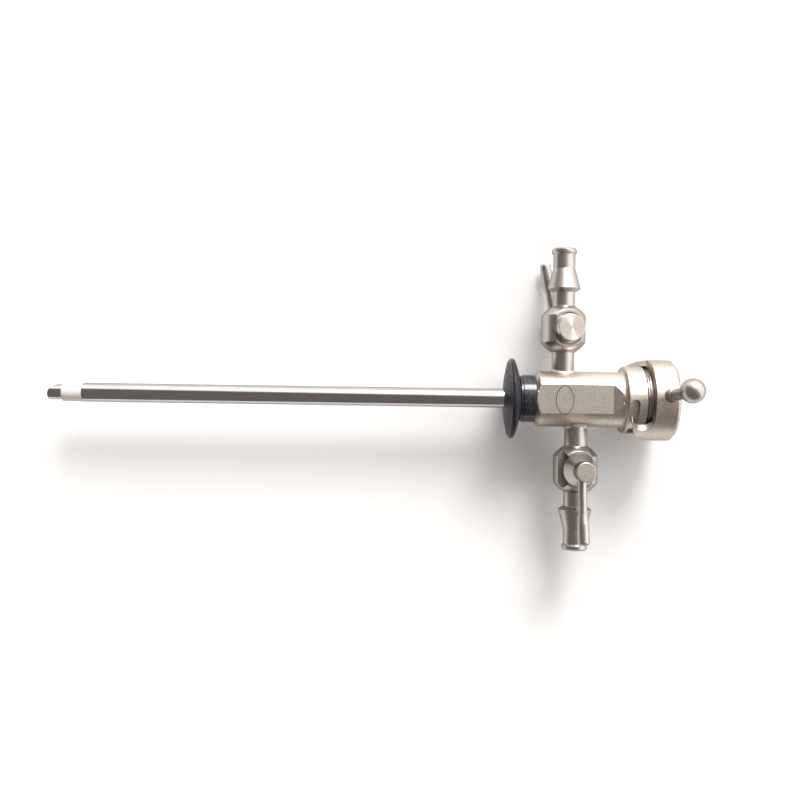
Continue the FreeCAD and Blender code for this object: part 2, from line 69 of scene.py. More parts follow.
# %% [markdown]
# The camera looks straight down from above the tube. The picture's perspective gives its height: the
# ball of the knob, which stands up from the ring, is drawn away from the middle by its height. The
# tube runs slightly downhill to the right in the picture, so the camera is rolled and the tube is not.

# %% Camera
MM = 0.001
PICTURE_SIZE = 800
FOCAL_PIXELS = 885
SENSOR_MM = 36.0
CAMERA_HEIGHT = 374 * MM
CAMERA_ABOVE = (-114.2 * MM, -1.4 * MM)
CAMERA_ROLL = math.radians(0.83)

camera_data = bpy.data.cameras.new("camera")
camera_data.sensor_width = SENSOR_MM
camera_data.lens = SENSOR_MM * FOCAL_PIXELS / PICTURE_SIZE
camera = bpy.data.objects.new("camera", camera_data)
camera.location = (*CAMERA_ABOVE, CAMERA_HEIGHT)
camera.rotation_euler = (0, 0, CAMERA_ROLL)
bpy.context.scene.collection.objects.link(camera)
bpy.context.scene.camera = camera
bpy.context.scene.view_settings.view_transform = "Standard"
print("lens:", round(camera_data.lens, 2), "mm")

# %% [markdown]
# Three small functions write the shader nodes that the light and the finishes share: one adds a node
# with its inputs set, one turns a range into 0 to 1, and one blends two colours.

# %% Shader helpers


def node_of(tree, kind, **inputs):
    """Add a shader node and set its named inputs."""
    node = tree.nodes.new(kind)
    for name, value in inputs.items():
        node.inputs[name].default_value = value
    return node


def remap(tree, value, low, high):
    """Turn a value between low and high into 0 to 1, with soft ends."""
    node = tree.nodes.new("ShaderNodeMapRange")
    node.interpolation_type = "SMOOTHSTEP"
    node.inputs["From Min"].default_value = low
    node.inputs["From Max"].default_value = high
    tree.links.new(value, node.inputs["Value"])
    return node.outputs["Result"]


def mix_colour(tree, share, first, second):
    """Blend two colours, each a constant or another node's output, by a share."""
    node = tree.nodes.new("ShaderNodeMix")
    node.data_type = "RGBA"
    for socket, source in ((0, share), (6, first), (7, second)):
        if isinstance(source, bpy.types.NodeSocket):
            tree.links.new(source, node.inputs[socket])
        elif socket == 0:
            node.inputs[socket].default_value = source
        else:
            node.inputs[socket].default_value = (*source, 1)
    return node.outputs[2]


print("shader helpers: node_of, remap, mix_colour")

# %% [markdown]
# Shiny metal looks like what surrounds it, so the light is set by what the metal shows. On the tube
# the white starts a little above the middle and the lower part is dark: the room is bright on one
# side and dim overhead and on the other side. A sky with two levels gives this, with a soft border
# between them.

# %% Sky
BRIGHT = (1.85, 1.85, 1.84)
DIM = (0.205, 0.178, 0.168)
BRIGHT_SIDE = (0.63, 0.686, -0.365)
BORDER = (-0.10, 0.14)


def make_sky():
    """Bright where a direction leans to the bright side, and dim overhead and on the other side."""
    world = bpy.data.worlds.new("room")
    world.use_nodes = True
    tree = world.node_tree
    direction = tree.nodes.new("ShaderNodeTexCoord").outputs["Generated"]
    side = tree.nodes.new("ShaderNodeVectorMath")
    side.operation = "DOT_PRODUCT"
    tree.links.new(direction, side.inputs[0])
    side.inputs[1].default_value = BRIGHT_SIDE
    colour = mix_colour(tree, remap(tree, side.outputs["Value"], *BORDER), DIM, BRIGHT)
    tree.links.new(colour, tree.nodes["Background"].inputs["Color"])
    bpy.context.scene.world = world


make_sky()
print("sky:", BRIGHT, "on the bright side,", DIM, "overhead")

# %% [markdown]
# The shadows fall straight down the picture and are long, so one wide lamp also stands low behind
# the object, like a window. A sun lamp with a large angle has such soft shadows.

# %% Window
WINDOW_AZIMUTH = math.radians(76)
WINDOW_ELEVATION = math.radians(31)
WINDOW_ANGLE = math.radians(26)
WINDOW_STRENGTH = 3.0
WINDOW_COLOUR = (1.0, 0.985, 0.96)


def make_window():
    """A wide, soft sun that shines from behind the object, low over the table."""
    lamp = bpy.data.lights.new("window", "SUN")
    lamp.energy = WINDOW_STRENGTH
    lamp.angle = WINDOW_ANGLE
    lamp.color = WINDOW_COLOUR
    window = bpy.data.objects.new("window", lamp)
    window.rotation_euler = (0, math.pi / 2 - WINDOW_ELEVATION, WINDOW_AZIMUTH)
    bpy.context.scene.collection.objects.link(window)


make_window()
print("window:", round(math.degrees(WINDOW_ELEVATION)), "degrees above the table")

# %% [markdown]
# The object lies on a white table. A faint glow lifts the table to a full white, for the camera and
# for whatever mirrors it, and it is weak enough to leave the object's shadow in place.

# %% Table
FLOOR_HALF = 3.0
FLOOR_GLOW = 0.04
TABLE_WHITE = (0.95, 0.945, 0.94)
TABLE_ROUGHNESS = 0.9
TABLE_GLOSS = 0.1


def seen_directly(tree):
    """1 for a ray from the camera, from a mirror-like surface or through a clear one, otherwise 0."""
    path = tree.nodes.new("ShaderNodeLightPath")
    total = path.outputs["Is Camera Ray"]
    for kind in ("Is Glossy Ray", "Is Transmission Ray"):
        add = tree.nodes.new("ShaderNodeMath")
        add.operation = "MAXIMUM"
        tree.links.new(total, add.inputs[0])
        tree.links.new(path.outputs[kind], add.inputs[1])
        total = add.outputs[0]
    return total


def make_floor():
    """A level white plane at the lowest point of the object."""
    level = cad_box[0][2]
    corners = np.array([(-1, -1), (1, -1), (1, 1), (-1, 1)]) * FLOOR_HALF
    mesh = bpy.data.meshes.new("floor")
    mesh.from_pydata([(x, y, level) for x, y in corners], [], [(0, 1, 2, 3)])
    floor = bpy.data.objects.new("floor", mesh)
    bpy.context.scene.collection.objects.link(floor)
    paint = bpy.data.materials.new("white_table")
    paint.use_nodes = True
    shader = paint.node_tree.nodes["Principled BSDF"]
    shader.inputs["Base Color"].default_value = (*TABLE_WHITE, 1)
    shader.inputs["Roughness"].default_value = TABLE_ROUGHNESS
    shader.inputs["Specular IOR Level"].default_value = TABLE_GLOSS
    shader.inputs["Emission Color"].default_value = (1, 1, 1, 1)
    seen = seen_directly(paint.node_tree)
    glow = paint.node_tree.nodes.new("ShaderNodeMath")
    glow.operation = "MULTIPLY"
    glow.inputs[1].default_value = FLOOR_GLOW
    paint.node_tree.links.new(seen, glow.inputs[0])
    paint.node_tree.links.new(glow.outputs[0], shader.inputs["Emission Strength"])
    mesh.materials.append(paint)


make_floor()
print("table at", round(cad_box[0][2] / MM, 2), "mm")

# %% [markdown]
# Every finish starts from the same few steps: a shader with its constant values, noise that is fixed
# to the object, so that the grain stays in place when a lever turns, and a relief that follows it.

# %% Finish helpers


def new_material(name, colour, metallic, roughness):
    """A material with its constant values set straight on the shader."""
    material = bpy.data.materials.new(name)
    material.use_nodes = True
    shader = material.node_tree.nodes["Principled BSDF"]
    shader.inputs["Base Color"].default_value = (*colour, 1)
    shader.inputs["Metallic"].default_value = metallic
    shader.inputs["Roughness"].default_value = roughness
    return material, material.node_tree, shader


def object_noise(tree, scale, stretch=(1, 1, 1), detail=2.0):
    """Noise that is fixed to the object; stretch below 1 draws it out along that axis."""
    place = tree.nodes.new("ShaderNodeMapping")
    place.inputs["Scale"].default_value = stretch
    tree.links.new(tree.nodes.new("ShaderNodeTexCoord").outputs["Object"], place.inputs["Vector"])
    noise = node_of(tree, "ShaderNodeTexNoise", Scale=scale, Detail=detail)
    tree.links.new(place.outputs["Vector"], noise.inputs["Vector"])
    return noise.outputs["Fac"]


def uneven(tree, value, middle, span):
    """Turn noise between 0 and 1 into a value that wanders about its middle by a span."""
    spread = tree.nodes.new("ShaderNodeMapRange")
    spread.inputs["To Min"].default_value = middle - span
    spread.inputs["To Max"].default_value = middle + span
    tree.links.new(value, spread.inputs["Value"])
    return spread.outputs["Result"]


def add_bump(tree, shader, height, depth):
    """Raise the surface by a pattern, to a depth in metres."""
    bump = node_of(tree, "ShaderNodeBump", Strength=1.0, Distance=depth)
    tree.links.new(height, bump.inputs["Height"])
    tree.links.new(bump.outputs["Normal"], shader.inputs["Normal"])


print("finish helpers: new_material, object_noise, uneven, add_bump")

# %% [markdown]
# Steel is one metal with several finishes here. The tube is polished along its length. The hub and
# the lock are blasted with fine beads, which leaves a matt grain. The taps, levers and knob are
# brushed to a satin. Each finish is a colour with a little mottling, an uneven roughness and a fine
# grain. A worked surface throws back less light at a flat angle than a perfect one, because its
# grains hide each other, and the shader's edge tint stands for that.

# %% Steel finishes
EDGE_TINT = (0.42, 0.4, 0.39)
GRAIN_RANGE = (0.36, 0.64)
MOTTLE_SCALE = 260
MOTTLE_RANGE = (0.35, 0.95)


def steel(name, colour, darker, roughness, rough_span, grain, stretch, depth):
    """A steel finish: grains of two shades that show more in some places, uneven roughness, and a
    relief that follows the grain."""
    material, tree, shader = new_material(name, colour, 1.0, roughness)
    shader.inputs["Specular Tint"].default_value = (*EDGE_TINT, 1)
    fine = object_noise(tree, grain, stretch, 3)
    grains = mix_colour(tree, remap(tree, fine, *GRAIN_RANGE), darker, colour)
    mottle = remap(tree, object_noise(tree, MOTTLE_SCALE, stretch, 4), *MOTTLE_RANGE)
    tree.links.new(mix_colour(tree, mottle, grains, colour), shader.inputs["Base Color"])
    tree.links.new(uneven(tree, fine, roughness, rough_span), shader.inputs["Roughness"])
    add_bump(tree, shader, fine, depth)
    return material


lengthwise_steel = steel("lengthwise_polished_steel", colour=(0.6, 0.595, 0.595),
                         darker=(0.54, 0.535, 0.535), roughness=0.13, rough_span=0.03, grain=2600,
                         stretch=(0.02, 1, 1), depth=1e-6)
matt_steel = steel("bead_blasted_steel", colour=(0.76, 0.69, 0.615), darker=(0.58, 0.52, 0.455),
                   roughness=0.415, rough_span=0.08, grain=1500, stretch=(1, 1, 1), depth=20e-6)
satin_steel = steel("satin_brushed_steel", colour=(0.57, 0.53, 0.5), darker=(0.49, 0.45, 0.42),
                    roughness=0.33, rough_span=0.07, grain=2600, stretch=(1, 1, 1), depth=5e-6)
mirror_steel = steel("mirror_polished_steel", colour=(0.7, 0.68, 0.66), darker=(0.64, 0.62, 0.6),
                     roughness=0.14, rough_span=0.04, grain=3000, stretch=(1, 1, 1), depth=1e-6)
steels = (lengthwise_steel, matt_steel, satin_steel, mirror_steel)
print("steel finishes:", [finish.name for finish in steels])

# %% [markdown]
# The tip's ring is a fired white ceramic, smooth but not glossy, and a little warm. Two near shades
# and an uneven roughness keep it from looking like plain plastic.

# %% Ceramic
CERAMIC_SHADES = ((0.76, 0.73, 0.685), (0.83, 0.8, 0.755))
CERAMIC_ROUGHNESS = 0.32
CERAMIC_GRAIN = 700
CERAMIC_RELIEF = 4e-6
fired_ceramic, ceramic_tree, ceramic = new_material(
    "fired_ceramic", (0.8, 0.77, 0.725), 0.0, CERAMIC_ROUGHNESS)
ceramic_mottle = object_noise(ceramic_tree, CERAMIC_GRAIN, detail=4)
ceramic_share = remap(ceramic_tree, ceramic_mottle, 0.3, 0.7)
ceramic_colour = mix_colour(ceramic_tree, ceramic_share, *CERAMIC_SHADES)
ceramic_rough = uneven(ceramic_tree, ceramic_mottle, CERAMIC_ROUGHNESS, 0.06)
ceramic_tree.links.new(ceramic_colour, ceramic.inputs["Base Color"])
ceramic_tree.links.new(ceramic_rough, ceramic.inputs["Roughness"])
add_bump(ceramic_tree, ceramic, ceramic_mottle, CERAMIC_RELIEF)
print("ceramic:", fired_ceramic.name)

# %% [markdown]
# The collar is black plastic, polished, with very fine turning lines. The guard disc is the same
# plastic, but years of wiping have dulled its two faces, where faint rings from turning show, and
# only its rolled rim is still polished. Its roughness therefore changes with the distance from the
# tube. Noise that changes fast along the tube and slowly across it makes lines and rings alike.

# %% Black plastic
BLACK_SHADES = ((0.022, 0.021, 0.027), (0.05, 0.047, 0.058))
BLACK_GRAIN = 1100
BLACK_RELIEF = 1.5e-6
COLLAR_ROUGHNESS = 0.16
FACE_ROUGHNESS = 0.42
RIM_ROUGHNESS = 0.14
RIM_WIDTH = 1.6 * MM


def black(name, roughness, gloss, stretch):
    """A black plastic whose turning marks vary its colour and its relief. The marks come back too."""
    material, tree, shader = new_material(name, (0.03, 0.028, 0.036), 0.0, roughness)
    shader.inputs["Specular IOR Level"].default_value = gloss
    marks = object_noise(tree, BLACK_GRAIN, stretch, 4)
    colour = mix_colour(tree, remap(tree, marks, 0.35, 0.7), *BLACK_SHADES)
    tree.links.new(colour, shader.inputs["Base Color"])
    add_bump(tree, shader, marks, BLACK_RELIEF)
    return material, tree, shader, marks


def distance_from_tube(tree):
    """How far a point lies from the tube's axis: the length of its y and z."""
    sideways = tree.nodes.new("ShaderNodeVectorMath")
    sideways.operation = "MULTIPLY"
    sideways.inputs[1].default_value = (0, 1, 1)
    tree.links.new(tree.nodes.new("ShaderNodeTexCoord").outputs["Object"], sideways.inputs[0])
    length = tree.nodes.new("ShaderNodeVectorMath")
    length.operation = "LENGTH"
    tree.links.new(sideways.outputs[0], length.inputs[0])
    return length.outputs["Value"]


collar_black, collar_tree, collar, collar_marks = black(
    "polished_black_plastic", COLLAR_ROUGHNESS, gloss=0.55, stretch=(1, 0.3, 0.3))
collar_rough = uneven(collar_tree, collar_marks, COLLAR_ROUGHNESS, 0.05)
collar_tree.links.new(collar_rough, collar.inputs["Roughness"])

disc_black, disc_tree, disc, _ = black(
    "wiped_black_plastic", FACE_ROUGHNESS, gloss=0.12, stretch=(2.5, 0.12, 0.12))
disc_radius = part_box("guard_disc")[1][2]
from_tube = distance_from_tube(disc_tree)
on_rim = remap(disc_tree, from_tube, disc_radius - RIM_WIDTH, disc_radius - RIM_WIDTH / 2)
polish = disc_tree.nodes.new("ShaderNodeMapRange")
polish.inputs["To Min"].default_value = FACE_ROUGHNESS
polish.inputs["To Max"].default_value = RIM_ROUGHNESS
disc_tree.links.new(on_rim, polish.inputs["Value"])
disc_tree.links.new(polish.outputs["Result"], disc.inputs["Roughness"])
print("disc radius:", round(disc_radius / MM, 2), "mm")

# %% [markdown]
# The seals are rubber, which is matt. The mark on the hub is a burnt line, so it is dark brown and
# dull. The table after them says which finish each slot of the record gets.

# %% Rubber, burnt line, and the table of finishes
RUBBER_GRAIN = 3000
RUBBER_RELIEF = 6e-6
BURNT_SHADES = ((0.04, 0.03, 0.024), (0.13, 0.1, 0.08))
BURNT_GRAIN = 4000
DULL = 0.6
matt_rubber, rubber_tree, rubber = new_material("matt_rubber", (0.02, 0.02, 0.02), 0.0, DULL)
add_bump(rubber_tree, rubber, object_noise(rubber_tree, RUBBER_GRAIN, detail=3), RUBBER_RELIEF)

burnt_mark, burnt_tree, burnt = new_material("burnt_mark", (0.06, 0.045, 0.035), 0.0, DULL)
burnt_grain = object_noise(burnt_tree, BURNT_GRAIN, detail=3)
burnt_tree.links.new(mix_colour(burnt_tree, burnt_grain, *BURNT_SHADES), burnt.inputs["Base Color"])

finish_of_slot = {
    "tube_steel": lengthwise_steel, "blasted_steel": matt_steel, "polished_steel": mirror_steel,
    "turned_steel": mirror_steel, "white_ceramic": fired_ceramic, "black_plastic": collar_black,
    "seal_rubber": matt_rubber}
print("slots:", len(finish_of_slot))

# %% [markdown]
# Most of the model's pieces already have the right shape. Each gets the finish that the record's
# slot names, and the taps, levers and knob get the satin one.

# %% Give each carried-over piece its finish
slot_of_node = {entry["node"]: entry["material_slot"] for entry in frame["record"]["subparts"]}
SATIN = ("stem", "tap_body", "nozzle", "lever_hub", "lever_rod", "lever_grip", "knob_ball", "knob_stem")
for name, piece in nodes.items():
    finish = finish_of_slot[slot_of_node[name]]
    if name.endswith(SATIN):
        finish = satin_steel
    if name == "guard_disc":
        finish = disc_black
    piece.data.materials.clear()
    piece.data.materials.append(finish)
body_of_node = {name: body for body, members in frame["record"]["behaviour"]["bodies"].items()
                for name in members}
print("pieces with a finish:", len(nodes))

# %% [markdown]
# No machined edge is perfectly sharp: it has been broken with a file or a tumbler, and the narrow
# band that this leaves catches the light as a thin line. The model's edges are sharp. A copy of each
# piece, with its loose triangles merged, takes a small Bevel on its real edges. A real edge is found
# by the surface's own normals: on a round wall they agree where two facets meet, and at an edge they
# jump. The angle between facets would not tell a gentle edge from a round wall.

# %% Rounded edges
import bmesh

MERGE = 0.001 * MM
FLAT_LIMIT = math.radians(0.4)
EDGE_JUMP = math.cos(math.radians(6))
BEVEL_STEPS = 2
EDGE_WIDTH = {
    "hub_body": 0.2, "lock_head": 0.16, "lock_ring": 0.18, "collar": 0.16, "insulating_tip": 0.1,
    "knob_stem": 0.1, "beak": 0.06}
TAP_EDGE_WIDTH = {
    "tap_body": 0.12, "nozzle": 0.1, "lever_hub": 0.14, "lever_rod": 0.05, "lever_grip": 0.1,
    "tap_washer": 0.08}
for side in ("upper", "lower"):
    EDGE_WIDTH.update({side + "_" + name: width for name, width in TAP_EDGE_WIDTH.items()})


def real_edges(mesh):
    """1 for each edge where the two faces' own normals part at either end, otherwise 0."""
    corners, count = len(mesh.loops), len(mesh.edges)
    normal = np.zeros(corners * 3)
    mesh.attributes["own_normal"].data.foreach_get("vector", normal)
    normal = normal.reshape(-1, 3)
    vertex, edge = np.zeros(corners, int), np.zeros(corners, int)
    mesh.loops.foreach_get("vertex_index", vertex)
    mesh.loops.foreach_get("edge_index", edge)
    start = np.zeros(len(mesh.polygons), int)
    mesh.polygons.foreach_get("loop_start", start)
    size = np.zeros(len(mesh.polygons), int)
    mesh.polygons.foreach_get("loop_total", size)
    following = np.arange(corners) + 1
    following[start + size - 1] = start
    ends = np.zeros(count * 2, int)
    mesh.edges.foreach_get("vertices", ends)
    forward = (vertex == ends.reshape(-1, 2)[edge, 0])[:, None]
    at_first = np.where(forward, normal, normal[following])
    at_second = np.where(forward, normal[following], normal)
    order = np.argsort(edge, kind="stable")
    shared = np.bincount(edge, minlength=count)[edge[order]] == 2
    pair = order[shared].reshape(-1, 2)
    agree = np.minimum((at_first[pair[:, 0]] * at_first[pair[:, 1]]).sum(1),
                       (at_second[pair[:, 0]] * at_second[pair[:, 1]]).sum(1))
    weight = np.zeros(count, np.float32)
    weight[edge[pair[:, 0]]] = agree < EDGE_JUMP
    return weight


def round_edges(name, width):
    """A merged copy of a node with its edges broken, standing for that node."""
    mesh = nodes[name].data.copy()
    mesh.name = name + "_rounded"
    own = np.zeros(len(mesh.loops) * 3, np.float32)
    mesh.corner_normals.foreach_get("vector", own)
    mesh.attributes.new("own_normal", "FLOAT_VECTOR", "CORNER").data.foreach_set("vector", own)
    if "custom_normal" in mesh.attributes:
        mesh.attributes.remove(mesh.attributes["custom_normal"])
    work = bmesh.new()
    work.from_mesh(mesh)
    bmesh.ops.remove_doubles(work, verts=work.verts, dist=MERGE)
    bmesh.ops.dissolve_limit(work, angle_limit=FLAT_LIMIT, verts=work.verts, edges=work.edges)
    work.to_mesh(mesh)
    work.free()
    weight = real_edges(mesh)
    mesh.attributes.new("bevel_weight_edge", "FLOAT", "EDGE").data.foreach_set("value", weight)
    mesh.attributes.remove(mesh.attributes["own_normal"])
    mesh.shade_smooth()
    piece = bpy.data.objects.new(name + "_rounded", mesh)
    bpy.context.scene.collection.objects.link(piece)
    bevel = piece.modifiers.new("broken edges", "BEVEL")
    bevel.width = width * MM
    bevel.segments = BEVEL_STEPS
    bevel.limit_method = "WEIGHT"
    bevel.use_clamp_overlap = False
    bevel.harden_normals = True
    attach(piece, body_of_node[name])
    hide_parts(name)
    return piece


rounded_piece = {name: round_edges(name, width) for name, width in EDGE_WIDTH.items()}
print("pieces with rounded edges:", len(rounded_piece))

# %% [markdown]
# A turned piece is a profile carried round an axis. One function rounds the corners of a profile,
# one spins it into a grid of points, and one turns a grid into a mesh. The mesh has a UV map, once
# round the axis and once along the profile, for finishes that run round the piece.

# %% Turned surfaces
ROUND_STEPS = 5
PARTS_OF_A_TURN = 96


def rounded(profile, radius):
    """Each inner corner becomes a curve: it starts and ends a radius away from the corner, or half the
    shorter side, and between them it is (1-t)^2 start + 2t(1-t) corner + t^2 end."""
    points = np.array(profile, float)
    before, corner, after = points[:-2], points[1:-1], points[2:]
    near = np.linalg.norm(before - corner, axis=1)
    far = np.linalg.norm(after - corner, axis=1)
    reach = np.minimum(radius, np.minimum(near, far) / 2)
    start = corner + (before - corner) * (reach / near)[:, None]
    end = corner + (after - corner) * (reach / far)[:, None]
    t = np.linspace(0, 1, ROUND_STEPS)[None, :, None]
    curve = (1 - t) ** 2 * start[:, None] + 2 * t * (1 - t) * corner[:, None] + t ** 2 * end[:, None]
    return np.vstack([points[:1], curve.reshape(-1, 2), points[-1:]])


def skin(name, grid, along=False):
    """Turn a grid of points into a mesh of quads. Each row closes into a ring, and with along the
    last row also joins the first."""
    rows, columns = grid.shape[:2]
    index = np.arange(rows * columns).reshape(rows, columns)
    wide = np.hstack([index, index[:, :1]])
    wide = np.vstack([wide, wide[:1]]) if along else wide
    faces = np.stack([wide[:-1, :-1], wide[:-1, 1:], wide[1:, 1:], wide[1:, :-1]], -1).reshape(-1, 4)
    v, u = np.meshgrid(np.linspace(0, 1, wide.shape[0]), np.linspace(0, 1, wide.shape[1]), indexing="ij")
    place = np.stack([u, v], -1)
    corners = np.stack([place[:-1, :-1], place[:-1, 1:], place[1:, 1:], place[1:, :-1]], 2)
    mesh = bpy.data.meshes.new(name)
    mesh.from_pydata((grid.reshape(-1, 3) * MM).tolist(), [], faces.tolist())
    mesh.uv_layers.new(name="round").data.foreach_set("uv", corners.reshape(-1))
    work = bmesh.new()
    work.from_mesh(mesh)
    bmesh.ops.remove_doubles(work, verts=work.verts, dist=MERGE)
    bmesh.ops.recalc_face_normals(work, faces=work.faces)
    work.to_mesh(mesh)
    work.free()
    mesh.shade_smooth()
    piece = bpy.data.objects.new(name, mesh)
    bpy.context.scene.collection.objects.link(piece)
    return piece


def side_directions(axis):
    """Two directions at right angles to an axis and to each other."""
    first = np.cross(axis, (0, 1, 0) if abs(axis[1]) < 0.9 else (1, 0, 0))
    first = first / np.linalg.norm(first)
    return first, np.cross(axis, first)


def spin(profile, origin, axis):
    """A grid of points: origin + height * axis + radius * (cos a * first + sin a * second)."""
    angle = np.linspace(0, 2 * np.pi, PARTS_OF_A_TURN, endpoint=False)
    first, second = side_directions(axis)
    ring = np.cos(angle)[:, None] * first + np.sin(angle)[:, None] * second
    height, radius = profile[:, 0], profile[:, 1]
    return origin + height[:, None, None] * np.array(axis) + radius[:, None, None] * ring[None]


def finish_piece(piece, material, body, replaced=()):
    """Give a new piece its material and its body, and hide the nodes that it stands for."""
    piece.data.materials.append(material)
    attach(piece, body)
    if replaced:
        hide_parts(*replaced)


print("one rounded corner has", ROUND_STEPS, "points")

# %% [markdown]
# Each tap's axis comes from its joint, and each piece's own height and radius along that axis come
# from the model's vertices. So the new surfaces lie where the model has the old ones.

# %% Tap axes
joint_of = {joint["name"]: joint for joint in frame["joints"]}
tap_axis = {}
for side, sign in (("upper", 1), ("lower", -1)):
    joint = joint_of[side + "_tap_turn"]
    tap_axis[side] = (np.array(joint["pos_m"]) / MM, sign * np.array(joint["axis"]))


def points_of(name):
    """All the points of a node, in millimetres."""
    mesh = nodes[name].data
    flat = np.zeros(len(mesh.vertices) * 3)
    mesh.vertices.foreach_get("co", flat)
    return flat.reshape(-1, 3) / MM


def reach_along(name, origin, axis):
    """The lowest and highest place of a node along an axis, and its largest radius about it."""
    offset = points_of(name) - origin
    height = offset @ axis
    radius = np.linalg.norm(offset - height[:, None] * axis, axis=1)
    return height.min(), height.max(), radius.max()


print("tap axes:", {side: np.round(axis, 3).tolist() for side, (_, axis) in tap_axis.items()})

# %% [markdown]
# The outer end of each lever's hub is faced off flat and blasted, while its cone stays satin. The
# rounded copy gets a second material, which goes to the faces that lie at the end's height.

# %% Blasted ends of the lever hubs
END_DEPTH = 0.05


def blast_end(side):
    """The faces whose centres lie furthest from the cap along the tap's axis get the matt finish."""
    origin, axis = tap_axis[side]
    mesh = rounded_piece[side + "_lever_hub"].data
    centre = np.zeros(len(mesh.polygons) * 3)
    mesh.polygons.foreach_get("center", centre)
    height = (origin - centre.reshape(-1, 3) / MM) @ axis
    mesh.materials.append(matt_steel)
    at_end = height > height.max() - END_DEPTH
    mesh.polygons.foreach_set("material_index", at_end.astype(int))
    print(side, "lever hub's end:", int(at_end.sum()), "faces at", round(height.max(), 2), "mm")


blast_end("upper")
blast_end("lower")

# %% [markdown]
# The cap is faced on a lathe with a slow feed, which leaves rings too fine to see. They spread a
# reflection out across themselves, and this gives the bright sectors that swing round the middle.
# An anisotropic finish does the same, with the tangent of the round UV map to say which way the
# rings run. The rings that can be seen are cut as very low waves in the profile.

# %% Spun caps
FACE_RINGS = 26
STEPS_A_RING = 4
RING_DEPTH = 0.006
CAP_EDGE = 0.28
SPREAD = 0.85
ACROSS_THE_RINGS = 0.25
SPUN_SHADES = ((0.7, 0.64, 0.56), (0.82, 0.75, 0.665))
SPUN_GRAIN = 900
spun_steel, spun_tree, spun = new_material("spun_steel", (0.76, 0.73, 0.68), 1.0, 0.34)
spun.inputs["Anisotropic"].default_value = SPREAD
spun.inputs["Anisotropic Rotation"].default_value = ACROSS_THE_RINGS
spun_tangent = spun_tree.nodes.new("ShaderNodeTangent")
spun_tangent.direction_type = "UV_MAP"
spun_tangent.uv_map = "round"
spun_tree.links.new(spun_tangent.outputs["Tangent"], spun.inputs["Tangent"])
spun_mottle = object_noise(spun_tree, SPUN_GRAIN, detail=3)
spun_tree.links.new(mix_colour(spun_tree, spun_mottle, *SPUN_SHADES), spun.inputs["Base Color"])


def spun_cap(side):
    """The cap's side is plain, its rim is rounded, and its face has rings: at radius r of R the height
    is less by depth * sin(rings * pi * r / R) ^ 2."""
    name = side + "_tap_cap"
    origin, axis = tap_axis[side]
    low, high, radius = reach_along(name, origin, axis)
    rim = rounded([(low, 0), (low, radius), (high, radius), (high, radius - 2 * CAP_EDGE)], CAP_EDGE)
    face_r = np.linspace(radius - 2 * CAP_EDGE, 0.0, FACE_RINGS * STEPS_A_RING)
    wave = np.sin(face_r / face_r[0] * FACE_RINGS * np.pi) ** 2
    face = np.stack([high - RING_DEPTH * wave, face_r], 1)
    profile = np.vstack([rim, face[1:]])
    piece = skin(name + "_spun", spin(profile, origin, axis))
    finish_piece(piece, spun_steel, side + "_lever", [name])
    print(side, "cap:", round(high - low, 2), "mm high, radius", round(radius, 2))


spun_cap("upper")
spun_cap("lower")

# %% [markdown]
# The gap between the lock head and the ring holds a wave spring: one flat strip of steel wound four
# times, and pressed into waves that stand crest on crest. A rectangular section is carried along
# that winding path, so that the gap shows bright edges with dark slots between them.

# %% Wave spring
SPRING_TURNS = 4
SPRING_WAVES = 3.5
STRIP_THICKNESS = 0.26
STRIP_CORNER = 0.07
STRIP_STEPS = 960
spring_points = points_of("lock_spring")
spring_radius = np.linalg.norm(spring_points[:, 1:], axis=1)
SPRING_FRONT, SPRING_BACK = spring_points[:, 0].min(), spring_points[:, 0].max()


def make_wave_spring():
    """Along the strip, angle runs from 0 to the turns; x climbs with it and swings by a sine. A first
    and a last row, drawn together to the section's middle, close the strip's two ends."""
    angle = np.linspace(0, 2 * np.pi * SPRING_TURNS, STRIP_STEPS)
    share = angle / angle[-1]
    pitch = (SPRING_BACK - SPRING_FRONT) / SPRING_TURNS
    swing = (pitch - STRIP_THICKNESS) / 2
    ends = STRIP_THICKNESS / 2 + swing
    middle = SPRING_FRONT + ends + share * (SPRING_BACK - SPRING_FRONT - 2 * ends)
    middle = middle + swing * np.sin(SPRING_WAVES * angle)
    inner, outer = spring_radius.min(), spring_radius.max()
    half = STRIP_THICKNESS / 2
    section = rounded([(0, inner), (-half, inner), (-half, outer), (half, outer), (half, inner),
                       (0, inner)], STRIP_CORNER)[:-1]
    grid = np.empty((STRIP_STEPS, len(section), 3))
    grid[..., 0] = middle[:, None] + section[None, :, 0]
    grid[..., 1] = np.sin(angle)[:, None] * section[None, :, 1]
    grid[..., 2] = np.cos(angle)[:, None] * section[None, :, 1]
    ends_middle = np.repeat(grid[[0, -1]].mean(axis=1, keepdims=True), len(section), axis=1)
    closed = np.vstack([ends_middle[:1], grid, ends_middle[1:]])
    return skin("lock_spring_waves", closed)


finish_piece(make_wave_spring(), mirror_steel, "sheath", ["lock_spring"])
print("spring:", round(SPRING_BACK - SPRING_FRONT, 2), "mm long")

# %% [markdown]
# The stems are soldered into the hub. The solder draws up into a hollow rounding all round the foot,
# which lies on the round hub and so rises and falls as it goes round. Its foot line is on the hub,
# its top line is on the stem, and a quarter of a circle, hollow side out, joins them. A thin bead of
# solder also closes the joint between each ball and the pipes that enter it.

